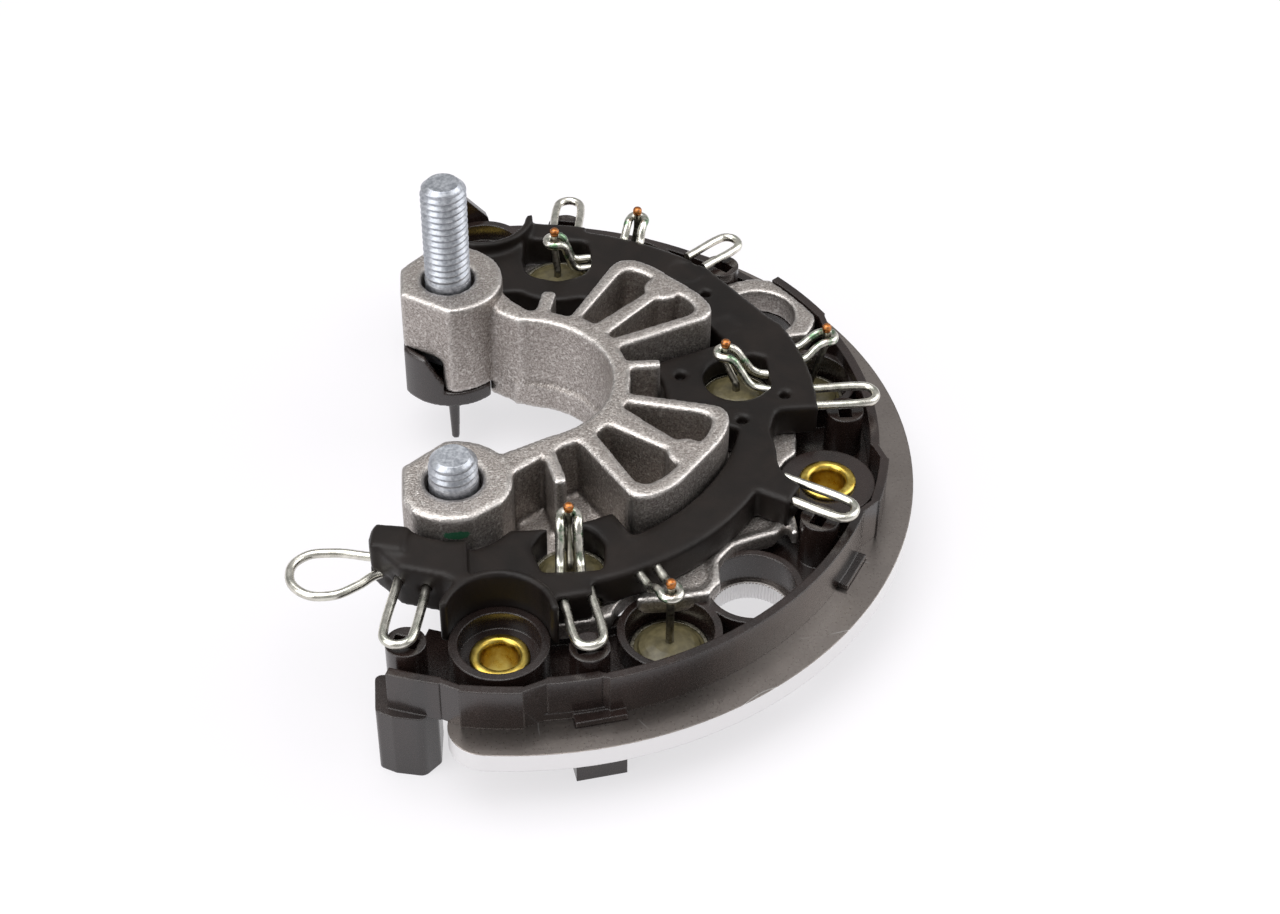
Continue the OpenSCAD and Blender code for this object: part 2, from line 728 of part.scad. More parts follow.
module negative_potting_2() {
    potting(negative_seats[1], negative_top);
}

module positive_potting_2() {
    potting(positive_seats[1], positive_top);
}

module negative_lead_2() {
    lead(negative_seats[1], negative_top, crossings[1]);
}

module positive_lead_2() {
    lead(positive_seats[1], positive_top, crossings[4]);
}

module negative_can_3() {
    can(negative_seats[2], negative_top);
}

module positive_can_3() {
    can(positive_seats[2], positive_top);
}

module negative_potting_3() {
    potting(negative_seats[2], negative_top);
}

module positive_potting_3() {
    potting(positive_seats[2], positive_top);
}

module negative_lead_3() {
    lead(negative_seats[2], negative_top, crossings[2]);
}

module positive_lead_3() {
    lead(positive_seats[2], positive_top, crossings[5]);
}

module stator_loop_1() {
    bent_wire(stator_wires[0]);
}

module weld_loop_1() {
    bent_wire(weld_wires[0]);
}

module stator_loop_2() {
    bent_wire(stator_wires[1]);
}

module weld_loop_2() {
    bent_wire(weld_wires[1]);
}

module stator_loop_3() {
    bent_wire(stator_wires[2]);
}

module weld_loop_3() {
    bent_wire(weld_wires[2]);
}

module stator_loop_4() {
    bent_wire(stator_wires[3]);
}

module weld_loop_4() {
    bent_wire(weld_wires[3]);
}

module stator_loop_5() {
    bent_wire(stator_wires[4]);
}

module weld_loop_5() {
    bent_wire(weld_wires[4]);
}

module stator_loop_6() {
    bent_wire(stator_wires[5]);
}

module weld_loop_6() {
    bent_wire(weld_wires[5]);
}

module field_loop() {
    bent_wire(field_wire);
}

positive_heat_sink();
negative_plate();
carrier_ring();
terminal_frame();
long_stud();
short_stud();
long_stud_cap();
short_stud_cap();
rivet_left();
rivet_right();
rivet_far();
negative_can_1();
negative_can_2();
negative_can_3();
positive_can_1();
positive_can_2();
positive_can_3();
negative_potting_1();
negative_potting_2();
negative_potting_3();
positive_potting_1();
positive_potting_2();
positive_potting_3();
negative_lead_1();
negative_lead_2();
negative_lead_3();
positive_lead_1();
positive_lead_2();
positive_lead_3();
stator_loop_1();
stator_loop_2();
stator_loop_3();
stator_loop_4();
stator_loop_5();
stator_loop_6();
weld_loop_1();
weld_loop_2();
weld_loop_3();
weld_loop_4();
weld_loop_5();
weld_loop_6();
field_loop();
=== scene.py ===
# %% [markdown]
# # Alternator rectifier
#
# This part turns the alternating current of a car's alternator into direct current. Six diodes
# do the work: three sit in a cast aluminium heat sink, and three in a flat metal crescent. The
# solids come from the CAD model. This lesson gives them a camera, a floor, light and finishes,
# and adds the details that are too fine for the solids, such as the threads.

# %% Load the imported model
import json
import math

import bmesh
import bpy
from mathutils import Matrix, Vector


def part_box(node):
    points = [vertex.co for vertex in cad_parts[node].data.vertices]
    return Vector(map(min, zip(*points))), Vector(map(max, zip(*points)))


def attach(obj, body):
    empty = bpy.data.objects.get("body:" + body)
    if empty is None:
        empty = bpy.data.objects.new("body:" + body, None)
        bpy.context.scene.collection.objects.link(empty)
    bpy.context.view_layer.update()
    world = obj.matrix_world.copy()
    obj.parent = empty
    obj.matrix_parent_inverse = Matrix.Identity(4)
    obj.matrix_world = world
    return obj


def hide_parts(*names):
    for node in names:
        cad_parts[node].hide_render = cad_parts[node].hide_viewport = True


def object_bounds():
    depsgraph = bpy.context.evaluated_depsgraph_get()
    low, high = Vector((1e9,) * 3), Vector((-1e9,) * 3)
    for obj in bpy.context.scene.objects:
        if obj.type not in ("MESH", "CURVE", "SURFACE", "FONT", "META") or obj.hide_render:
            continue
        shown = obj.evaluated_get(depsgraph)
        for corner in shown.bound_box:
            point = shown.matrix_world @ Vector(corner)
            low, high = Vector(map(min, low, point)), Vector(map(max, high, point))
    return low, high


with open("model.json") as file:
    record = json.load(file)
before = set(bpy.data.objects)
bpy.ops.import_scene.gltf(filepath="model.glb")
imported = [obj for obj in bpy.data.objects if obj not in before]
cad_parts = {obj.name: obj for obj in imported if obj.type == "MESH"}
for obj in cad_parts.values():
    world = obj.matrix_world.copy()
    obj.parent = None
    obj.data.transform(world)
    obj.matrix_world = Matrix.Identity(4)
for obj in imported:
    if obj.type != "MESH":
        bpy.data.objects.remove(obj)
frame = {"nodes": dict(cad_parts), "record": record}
nodes = frame["nodes"]
cad_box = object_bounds()
MM = 0.001
print("loaded", len(nodes), "nodes, box", [[round(v / MM, 1) for v in c] for c in cad_box])

# %% [markdown]
# ## Camera
#
# A photograph fixes the camera: how far away it stood, how high, and how much its lens took in.
# Here those values were worked out from round features whose real size is known. A long lens
# from about 40 cm away gives the flat look of a product photograph. The camera is placed by a
# matrix, because a small roll is easier to keep exact that way than with a tracking target.

# %% Camera
CAMERA_PLACE = Vector((-5.44, -292.85, 261.66)) * MM
CAMERA_TURN, CAMERA_TILT, CAMERA_ROLL = -5.0, 90 - 41.76, 0.757
CAMERA_LENS, SENSOR = 64.69, 36.0


def turned(degrees, axis):
    return Matrix.Rotation(math.radians(degrees), 4, axis)


camera = bpy.data.objects.new("camera", bpy.data.cameras.new("camera"))
camera.data.lens = CAMERA_LENS
camera.data.sensor_width = SENSOR
camera.data.sensor_fit = "HORIZONTAL"
camera.data.clip_start = 0.02
camera.data.clip_end = 20
camera.matrix_world = (
    Matrix.Translation(CAMERA_PLACE)
    @ turned(CAMERA_TURN, "Z")
    @ turned(CAMERA_TILT, "X")
    @ turned(CAMERA_ROLL, "Z")
)
bpy.context.scene.collection.objects.link(camera)
bpy.context.scene.camera = camera
print("camera at", [round(v, 3) for v in camera.matrix_world.translation])

# %% [markdown]
# ## Small helpers
#
# Colours are easiest to read as the hex codes that a paint program shows, but Blender mixes
# light in linear values, so one function converts them. A material is a network of nodes, and
# one small function adds a node, sets its inputs and plugs in its links.


# %% Helpers for colours and nodes
def linear(code):
    """An sRGB hex colour as the linear RGBA that Blender works in."""
    parts = [int(code[i : i + 2], 16) / 255 for i in (1, 3, 5)]
    return [c / 12.92 if c <= 0.04045 else ((c + 0.055) / 1.055) ** 2.4 for c in parts] + [1]


def add(tree, kind, settings=None, **inputs):
    """Adds a node. Settings are its own options, inputs are values or other nodes' outputs."""
    node = tree.nodes.new(kind)
    for name, value in (settings or {}).items():
        setattr(node, name, value)
    for name, value in inputs.items():
        key = int(name[1:]) if name[0] == "_" and name[1:].isdigit() else name.replace("_", " ")
        if isinstance(value, bpy.types.NodeSocket):
            tree.links.new(value, node.inputs[key])
        else:
            node.inputs[key].default_value = value
    return node


def new_material(name):
    """A material with its tree emptied down to the output."""
    material = bpy.data.materials.new(name)
    material.use_nodes = True
    tree = material.node_tree
    tree.nodes.clear()
    return material, tree


def finish_material(tree, shader):
    add(tree, "ShaderNodeOutputMaterial", Surface=shader)


print("white is", linear("#ffffff"), "mid grey is", [round(c, 3) for c in linear("#808080")])

# %% [markdown]
# ## Floor and background
#
# The object stands on a white sweep. A plain white plane would look grey in its own shading, so
# the camera sees it part lit and part glowing: Light Path's Is Camera Ray is 1 only for what the
# lens sees, so the object itself isn't lit by the glow. The shadow stays, because the lit part
# still darkens where the object blocks the light.

# %% Floor and world
FLOOR_Z = cad_box[0].z
FLOOR_GAP = 0.02 * MM
FLOOR_SIZE = 40.0
FLOOR_COLOUR = "#e9e6ea"
GLOW_COLOUR = "#f7f6f8"
FLOOR_GLOW = 0.72
WORLD_LIGHT = 0.4


def seen(tree):
    """1 for what the camera sees, directly or by reflection."""
    path = add(tree, "ShaderNodeLightPath")
    either = add(
        tree,
        "ShaderNodeMath",
        {"operation": "MAXIMUM"},
        _0=path.outputs["Is Camera Ray"],
        _1=path.outputs["Is Glossy Ray"],
    )
    return add(
        tree,
        "ShaderNodeMath",
        {"operation": "MAXIMUM"},
        _0=either.outputs[0],
        _1=path.outputs["Is Transmission Ray"],
    ).outputs[0]


def floor_material():
    material, tree = new_material("painted_paper_sweep")
    lit = add(tree, "ShaderNodeBsdfPrincipled", Base_Color=linear(FLOOR_COLOUR), Roughness=0.9)
    glow = add(tree, "ShaderNodeEmission", Color=linear(GLOW_COLOUR), Strength=1.0)
    share = add(tree, "ShaderNodeMath", {"operation": "MULTIPLY"}, _0=seen(tree), _1=FLOOR_GLOW)
    mixed = add(
        tree,
        "ShaderNodeMixShader",
        _0=share.outputs[0],
        _1=lit.outputs[0],
        _2=glow.outputs[0],
    )
    finish_material(tree, mixed.outputs[0])
    return material


bpy.ops.mesh.primitive_plane_add(size=FLOOR_SIZE, location=(0, 0, FLOOR_Z - FLOOR_GAP))
floor = bpy.context.object
floor.name = "floor"
floor.data.materials.append(floor_material())

world = bpy.data.worlds.new("studio")
bpy.context.scene.world = world
world.use_nodes = True
world.node_tree.nodes.clear()
add(
    world.node_tree,
    "ShaderNodeOutputWorld",
    Surface=add(
        world.node_tree, "ShaderNodeBackground", Color=linear("#ffffff"), Strength=WORLD_LIGHT
    ).outputs[0],
)
print("floor at", round(FLOOR_Z / MM, 2), "mm")

# %% [markdown]
# ## Lights
#
# Three large soft lamps and the pale world give the even light of a product table. The overhead
# one draws the bright rims on the castings, the one at the front left opens up the black
# mouldings, and the one at the right lights the walls that face it.


# %% Lamps
def soft_lamp(name, place, aim, size, power):
    lamp = bpy.data.lights.new(name, "AREA")
    lamp.shape = "RECTANGLE"
    lamp.size, lamp.size_y = size
    lamp.energy = power
    ob = bpy.data.objects.new(name, lamp)
    bpy.context.scene.collection.objects.link(ob)
    ob.location = Vector(place)
    ob.rotation_euler = (Vector(aim) - Vector(place)).to_track_quat("-Z", "Y").to_euler()


TARGET = (0.01, 0, 0.01)
soft_lamp("overhead", (-0.15, 0.00, 0.85), TARGET, (0.9, 0.7), 7.0)
soft_lamp("front_left", (-0.60, -0.35, 0.45), TARGET, (0.6, 0.7), 3.8)
soft_lamp("right", (0.60, 0.05, 0.40), TARGET, (0.6, 0.7), 3.2)

# %% [markdown]
# ## Shared pattern pieces
#
# Real parts never show one flat colour. A casting has a sandy grain, a moulding has a faint
# mottling, and edges are brighter, partly from rubbed wear and partly as a painted highlight.
# Object coordinates give each pattern a fixed size in metres, so a real grain size in millimetres
# can be written down directly. The Bevel node rounds the shading of an edge without changing the
# mesh, and where its normal differs from the true one there is an edge, which gives a mask for wear
# and for a painted highlight.


# %% Pattern helpers
def object_coordinates(tree):
    return add(tree, "ShaderNodeTexCoord").outputs["Object"]


def grain(tree, size_mm, detail=3.0, rough=0.6, stretch=None, distortion=0.0):
    """Noise whose cells are about size_mm wide."""
    coords = object_coordinates(tree)
    if stretch:
        coords = add(tree, "ShaderNodeMapping", Vector=coords, Scale=stretch).outputs[0]
    return add(
        tree,
        "ShaderNodeTexNoise",
        Vector=coords,
        Scale=1 / (size_mm * MM),
        Detail=detail,
        Roughness=rough,
        Distortion=distortion,
    ).outputs["Fac"]


def ramp(tree, value, low, high, out_low=0.0, out_high=1.0):
    return add(
        tree,
        "ShaderNodeMapRange",
        {"clamp": True},
        Value=value,
        From_Min=low,
        From_Max=high,
        To_Min=out_low,
        To_Max=out_high,
    ).outputs[0]


def blend(tree, share, first, second):
    """Mixes two colours, given as hex codes or sockets."""
    mix = tree.nodes.new("ShaderNodeMix")
    mix.data_type = "RGBA"
    for index, value in ((6, first), (7, second)):
        if isinstance(value, str):
            mix.inputs[index].default_value = linear(value)
        else:
            tree.links.new(value, mix.inputs[index])
    if isinstance(share, bpy.types.NodeSocket):
        tree.links.new(share, mix.inputs[0])
    else:
        mix.inputs[0].default_value = share
    return mix.outputs[2]


def soft_edges(tree, radius_mm, samples=4):
    return add(tree, "ShaderNodeBevel", {"samples": samples}, Radius=radius_mm * MM).outputs[0]


def edge_mask(tree, rounded):
    """1 along sharp edges, 0 on flat faces."""
    true = add(tree, "ShaderNodeNewGeometry").outputs["True Normal"]
    dot = add(
        tree, "ShaderNodeVectorMath", {"operation": "DOT_PRODUCT"}, _0=rounded, _1=true
    ).outputs["Value"]
    return ramp(tree, dot, 0.995, 0.86)


def bump(tree, height, depth_mm, normal=None, strength=1.0):
    inputs = {"Height": height, "Distance": depth_mm * MM, "Strength": strength}
    if normal is not None:
        inputs["Normal"] = normal
    return add(tree, "ShaderNodeBump", **inputs).outputs[0]


print("helpers ready")

# %% [markdown]
# ## Cast aluminium
#
# The heat sink is pressure die-cast and left as it comes, then blasted: a fine sandy grain with a
# pale grey body, darker in the grain's pits. Outer edges are brighter, partly from rubbed wear and
# partly as a painted highlight, and inner corners carry a painted shade. Metallic is 1, roughness
# is high, and the grain is about 0.25 mm wide.


# %% Cast aluminium
# A dab of green marking paint beside the short stud's boss.
PAINT_SIZE = Vector((2.2, 4.0, 0.8)) * MM
PAINT_PLACE = Vector((-11.2, -33.4, 14.7)) * MM


def cast_aluminium():
    material, tree = new_material("die_cast_aluminium")
    fine = grain(tree, 0.33, 2.0, 0.6)
    specks = grain(tree, 0.6, 2.0, 0.6)
    broad = grain(tree, 7.0, 2.0)
    pointed = add(tree, "ShaderNodeNewGeometry").outputs["Pointiness"]
    # Convex edges: partly rubbed wear, partly a painted highlight.
    edge_wear_and_highlight = ramp(tree, pointed, 0.505, 0.56)
    # Concave corners: painted shade.
    painted_corner_shade = ramp(tree, pointed, 0.495, 0.45)
    body = blend(tree, ramp(tree, fine, 0.36, 0.66), "#857e79", "#bfb8b3")
    body = blend(tree, ramp(tree, specks, 0.55, 0.7, 0, 0.7), body, "#e4e0dc")
    body = blend(tree, ramp(tree, broad, 0.35, 0.7, 0, 0.25), body, "#938b86")
    # Painted shade darkens the inner corners and fillets.
    body = blend(tree, ramp(tree, painted_corner_shade, 0, 1, 0, 0.7), body, "#5d5753")
    # Outer edges painted paler: rubbed wear plus a painted highlight.
    body = blend(tree, ramp(tree, edge_wear_and_highlight, 0, 1, 0, 0.55), body, "#e9e6e3")
    spot = add(tree, "ShaderNodeVectorMath", {"operation": "SUBTRACT"}, _0=object_coordinates(tree))
    spot.inputs[1].default_value = PAINT_PLACE
    spot = add(
        tree, "ShaderNodeVectorMath", {"operation": "DIVIDE"}, _0=spot.outputs[0], _1=PAINT_SIZE
    )
    spot = add(tree, "ShaderNodeVectorMath", {"operation": "LENGTH"}, _0=spot.outputs[0])
    spot = add(tree, "ShaderNodeMath", {"operation": "ADD"}, _0=spot.outputs["Value"], _1=specks)
    paint = ramp(tree, spot.outputs[0], 1.55, 1.45)
    body = blend(tree, paint, body, "#1c4a33")
    shader = add(
        tree,
        "ShaderNodeBsdfPrincipled",
        Base_Color=body,
        Metallic=ramp(tree, paint, 0, 1, 1.0, 0.1),
        Roughness=ramp(tree, edge_wear_and_highlight, 0, 1, 0.46, 0.32),
        Normal=bump(tree, fine, 0.11),
    )
    finish_material(tree, shader.outputs[0])
    return material


casting = cast_aluminium()
print("made", casting.name)

# %% [markdown]
# ## Plated sheet
#
# The negative plate is a stamped sheet with a bright plating. Its top shows fine scratches from
# handling: the thin line where a very wide noise passes its middle value, kept only in patches.
# Its cut edge is paler and rougher than the top: partly a sheared edge's own tone, and partly a
# painted highlight, since every upright face is painted near white.


# %% Plated sheet
def plated_sheet():
    material, tree = new_material("bright_plated_sheet")
    rounded = soft_edges(tree, 0.3)
    upright = add(tree, "ShaderNodeNewGeometry").outputs["True Normal"]
    upright = add(tree, "ShaderNodeSeparateXYZ", Vector=upright).outputs["Z"]
    upright = add(tree, "ShaderNodeMath", {"operation": "ABSOLUTE"}, _0=upright).outputs[0]
    # Upright faces: a sheared edge's pale tone plus a painted highlight.
    sheared_edge_and_highlight = ramp(tree, upright, 0.8, 0.4)
    brushed = grain(tree, 0.5, 3.0, 0.5)
    wander = grain(tree, 30.0, 0.0, 0.0)
    patches = grain(tree, 9.0, 1.0)
    line = add(tree, "ShaderNodeMath", {"operation": "SUBTRACT"}, _0=wander, _1=0.5).outputs[0]
    line = add(tree, "ShaderNodeMath", {"operation": "ABSOLUTE"}, _0=line).outputs[0]
    scratch = ramp(tree, line, 0.0022, 0.0008)
    handled = ramp(tree, patches, 0.52, 0.6)
    scratch = add(
        tree, "ShaderNodeMath", {"operation": "MULTIPLY"}, _0=scratch, _1=handled
    ).outputs[0]
    stains = grain(tree, 10.0, 3.0)
    body = blend(tree, ramp(tree, brushed, 0.3, 0.7), "#9a928d", "#a39b96")
    body = blend(tree, ramp(tree, stains, 0.4, 0.7, 0, 0.4), body, "#857d79")
    body = blend(tree, scratch, body, "#cfccca")
    # Painted highlight, with some sheared-edge tone, on every upright face.
    body = blend(tree, sheared_edge_and_highlight, body, "#e9e8e8")
    rough = ramp(tree, brushed, 0.3, 0.7, 0.27, 0.3)
    rim_rough = ramp(tree, sheared_edge_and_highlight, 0, 1, 0, 0.6)
    rough = add(tree, "ShaderNodeMath", {"operation": "MAXIMUM"}, _0=rough, _1=rim_rough)
    shader = add(
        tree,
        "ShaderNodeBsdfPrincipled",
        Base_Color=body,
        Metallic=1.0,
        Roughness=rough.outputs[0],
        Normal=bump(tree, brushed, 0.0008, rounded, 0.3),
    )
    finish_material(tree, shader.outputs[0])
    return material


sheet = plated_sheet()
print("made", sheet.name)

# %% [markdown]
# ## Moulded plastics
#
# Ring and frame are glass-filled plastic. The ring is moulded in a polished tool and shines a
# little, with a brown cast. The frame is duller and almost black, with a fine mottled skin.
# Plastic isn't metal, so Metallic is 0, and the shine comes from roughness alone.


# %% Moulded plastics
def moulding(name, dark, light, rough_low, rough_high, grain_mm, depth_mm, worn_highlit_edge_colour, shine):
    material, tree = new_material(name)
    rounded = soft_edges(tree, 0.35)
    edge = edge_mask(tree, rounded)
    skin = grain(tree, grain_mm, 4.0, 0.6)
    flow = grain(tree, 7.0, 3.0, 0.55, stretch=(1.0, 1.0, 0.35), distortion=0.6)
    body = blend(tree, ramp(tree, flow, 0.35, 0.7), dark, light)
    # Edges painted paler: partly rubbed wear, partly a painted highlight.
    body = blend(tree, ramp(tree, edge, 0, 1, 0, 0.6), body, worn_highlit_edge_colour)
    shader = add(
        tree,
        "ShaderNodeBsdfPrincipled",
        Base_Color=body,
        Metallic=0.0,
        Roughness=ramp(tree, skin, 0.35, 0.65, rough_low, rough_high),
        Normal=bump(tree, skin, depth_mm, rounded, 0.7),
    )
    shader.inputs["Specular IOR Level"].default_value = shine
    finish_material(tree, shader.outputs[0])
    return material


# The last colour of each is its edges' colour: rubbed wear plus a painted highlight.
ring_plastic = moulding(
    "glass_filled_polyphenylene", "#170f0d", "#261b18", 0.2, 0.3, 0.35, 0.004, "#2f2623", 0.8
)
frame_plastic = moulding(
    "glass_filled_polyamide", "#120e0c", "#1c1613", 0.36, 0.5, 0.3, 0.02, "#221f1e", 0.22
)
print("made", ring_plastic.name, "and", frame_plastic.name)

# %% [markdown]
# ## Plated fasteners, diodes and wires
#
# The studs are steel with a dull blue-grey zinc plating. The eyelets are yellow from chromate. A
# diode's can is nickel-plated copper, its potting is an olive resin, and its lead is tinned copper
# whose cut tip shows orange. The loops are tinned wire, with traces of green varnish where they
# were dipped.


# %% Metals by colour
def plain_metal(name, dark, light, rough, grain_mm, depth_mm, edge_mm=0.15):
    material, tree = new_material(name)
    rounded = soft_edges(tree, edge_mm)
    mottled = grain(tree, grain_mm, 4.0, 0.6)
    body = blend(tree, ramp(tree, mottled, 0.35, 0.7), dark, light)
    shader = add(
        tree,
        "ShaderNodeBsdfPrincipled",
        Base_Color=body,
        Metallic=1.0,
        Roughness=ramp(tree, mottled, 0.3, 0.7, rough - 0.06, rough + 0.08),
        Normal=bump(tree, mottled, depth_mm, rounded, 0.6),
    )
    finish_material(tree, shader.outputs[0])
    return material


# Zinc plating is blue-grey and half matt, so the threads show as soft stripes.
zinc = plain_metal("zinc_plated_steel", "#a2a6ae", "#cdd0d5", 0.42, 0.6, 0.02)
# Yellow chromate is clear over bright zinc, so the eyelets look like polished brass.
yellow = plain_metal("yellow_chromated_eyelet", "#b7973c", "#d9c36a", 0.3, 1.6, 0.004)
# Nickel has a warm cast and a fairly sharp shine, so the cans stay darker than the sheet.
nickel = plain_metal("nickel_plated_can", "#7d786b", "#aba696", 0.28, 0.8, 0.008)
# Tinned leads are a little duller than the wires, because solder heat has dimmed them.
lead_metal = plain_metal("tinned_lead", "#77736a", "#a39f93", 0.32, 0.6, 0.008, 0.1)
# Bare copper shows orange where a lead is cut and melted.
copper = plain_metal("bare_copper_tip", "#a8602f", "#c98a50", 0.4, 0.4, 0.02, 0.05)


def tinned_wire():
    material, tree = new_material("tinned_wire")
    mottled = grain(tree, 1.5, 2.0, 0.5)
    patches = grain(tree, 1.8, 3.0, 0.6)
    height = add(tree, "ShaderNodeSeparateXYZ", Vector=object_coordinates(tree)).outputs["Z"]
    raised = ramp(tree, height, 11.6 * MM, 13.6 * MM, 0.12, 1.0)
    green = add(
        tree,
        "ShaderNodeMath",
        {"operation": "MULTIPLY"},
        _0=raised,
        _1=ramp(tree, patches, 0.5, 0.62, 0, 0.85),
    ).outputs[0]
    body = blend(tree, ramp(tree, mottled, 0.35, 0.7), "#c2bfb6", "#e9e6dc")
    body = blend(tree, green, body, "#4d7a54")
    shader = add(
        tree,
        "ShaderNodeBsdfPrincipled",
        Base_Color=body,
        Metallic=1.0,
        Roughness=ramp(tree, mottled, 0.3, 0.7, 0.24, 0.32),
        Normal=bump(tree, mottled, 0.01, None, 0.2),
    )
    finish_material(tree, shader.outputs[0])
    return material


tinned = tinned_wire()


def potting_resin():
    material, tree = new_material("potting_resin")
    cloudy = grain(tree, 1.4, 3.0)
    body = blend(tree, ramp(tree, cloudy, 0.35, 0.7), "#4b452f", "#675f43")
    shader = add(
        tree,
        "ShaderNodeBsdfPrincipled",
        Base_Color=body,
        Roughness=0.35,
        Normal=bump(tree, cloudy, 0.05),
    )
    finish_material(tree, shader.outputs[0])
    return material


resin = potting_resin()
print("made", len(bpy.data.materials), "materials")

# %% [markdown]
# ## Finishes on the solids
#
# Each CAD solid arrives with a slot that names its material. A table from slot to finish dresses
# them all in one pass, and the mesh itself is left alone.

# %% Dress the nodes
FINISHES = {
    "cast_aluminium": casting,
    "bright_plate": sheet,
    "ring_moulding": ring_plastic,
    "frame_moulding": frame_plastic,
    "zinc_steel": zinc,
    "yellow_zinc": yellow,
    "diode_can": nickel,
    "potting": resin,
    "lead_wire": lead_metal,
    "loop_wire": tinned,
}
slot_of = {part["node"]: part["material_slot"] for part in frame["record"]["subparts"]}
for name, ob in nodes.items():
    ob.data.materials.clear()
    ob.data.materials.append(FINISHES[slot_of[name]])
print("dressed", len(slot_of), "nodes")

# %% [markdown]
# ## Turned and bent pieces
#
# Studs, eyelets and wires are round, so each is best made by an operator that goes round: spin
# turns a profile about an axis, and a curve with a bevel depth is a bent round wire. One helper
# closes a mesh, points its faces outwards, keeps edges sharper than a given angle crisp and the
# rest smooth, and hands the piece to the model in place of its CAD node.


# %% Helpers for pieces
CRISP_ANGLE = 20.0


def as_mesh(name, bm):
    mesh = bpy.data.meshes.new(name)
    bm.to_mesh(mesh)
    bm.free()
    return mesh


def linked(name, data):
    ob = bpy.data.objects.new(name, data)
    bpy.context.scene.collection.objects.link(ob)
    return ob


def finish_piece(name, bm, node, material, sharp=40.0, merge=1e-6, crisp_above=1.0):
    """Closes bm and places it. Edges above the height crisp_above, in metres, stay crisp from
    CRISP_ANGLE on, the others from sharp on."""
    bmesh.ops.remove_doubles(bm, verts=bm.verts, dist=merge)
    bmesh.ops.recalc_face_normals(bm, faces=bm.faces)
    for face in bm.faces:
        face.smooth = True
    for edge in bm.edges:
        limit = CRISP_ANGLE if edge.verts[0].co.z > crisp_above else sharp
        edge.smooth = len(edge.link_faces) == 2 and edge.calc_face_angle() < math.radians(limit)
    return place_piece(name, as_mesh(name, bm), node, material)


def place_piece(name, mesh, node, material, replace=True):
    mesh.materials.clear()
    mesh.materials.append(material)
    ob = linked(name, mesh)
    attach(ob, "root")
    if replace:
        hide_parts(node)
    return ob


def middle(node):
    low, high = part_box(node)
    return (Vector(low) + Vector(high)) / 2


def profile_spin(bm, centre, profile, steps=64):
    """Turns a profile of (radius, height) points in mm about the upright through centre."""
    verts = [bm.verts.new((centre.x + r * MM, centre.y, z * MM)) for r, z in profile]
    edges = [bm.edges.new(pair) for pair in zip(verts, verts[1:] + verts[:1])]
    bmesh.ops.spin(
        bm,
        geom=verts + edges,
        cent=(centre.x, centre.y, 0),
        axis=(0, 0, 1),
        angle=math.tau,
        steps=steps,
        use_merge=True,
    )


print("boss centre", [round(v / MM, 1) for v in middle("long_stud")])

# %% [markdown]
# ## Studs
#
# The battery studs are rolled M8 threads, with a pitch of 1.25 mm. Rolling leaves a rounded crest
# and root, a cupped end and a chamfer at the tip. Spin with a rise per step turns one pitch of
# the thread's profile into a helix, two cuts make its ends flat, and a clamp on the radius makes
# the chamfer and lets the thread run out just above the boss.

# %% Threaded studs
# In mm. THREAD is one pitch of the profile, as (radius, height).
PITCH = 1.25
THREAD = [(3.4, 0.0), (3.43, 0.14), (3.9, 0.5), (3.93, 0.62), (3.9, 0.75), (3.43, 1.11)]
CREST_R, TIP_R, SHANK_R, HEAD_R = 3.93, 2.75, 3.98, 6.2
HEAD_LOW, HEAD_HIGH, HEAD_CHAMFER = 5.7, 9.25, 0.6
TIP_LOWER = 1.2
TURN_STEPS = 48
RUN_OUT = 1.4 * PITCH


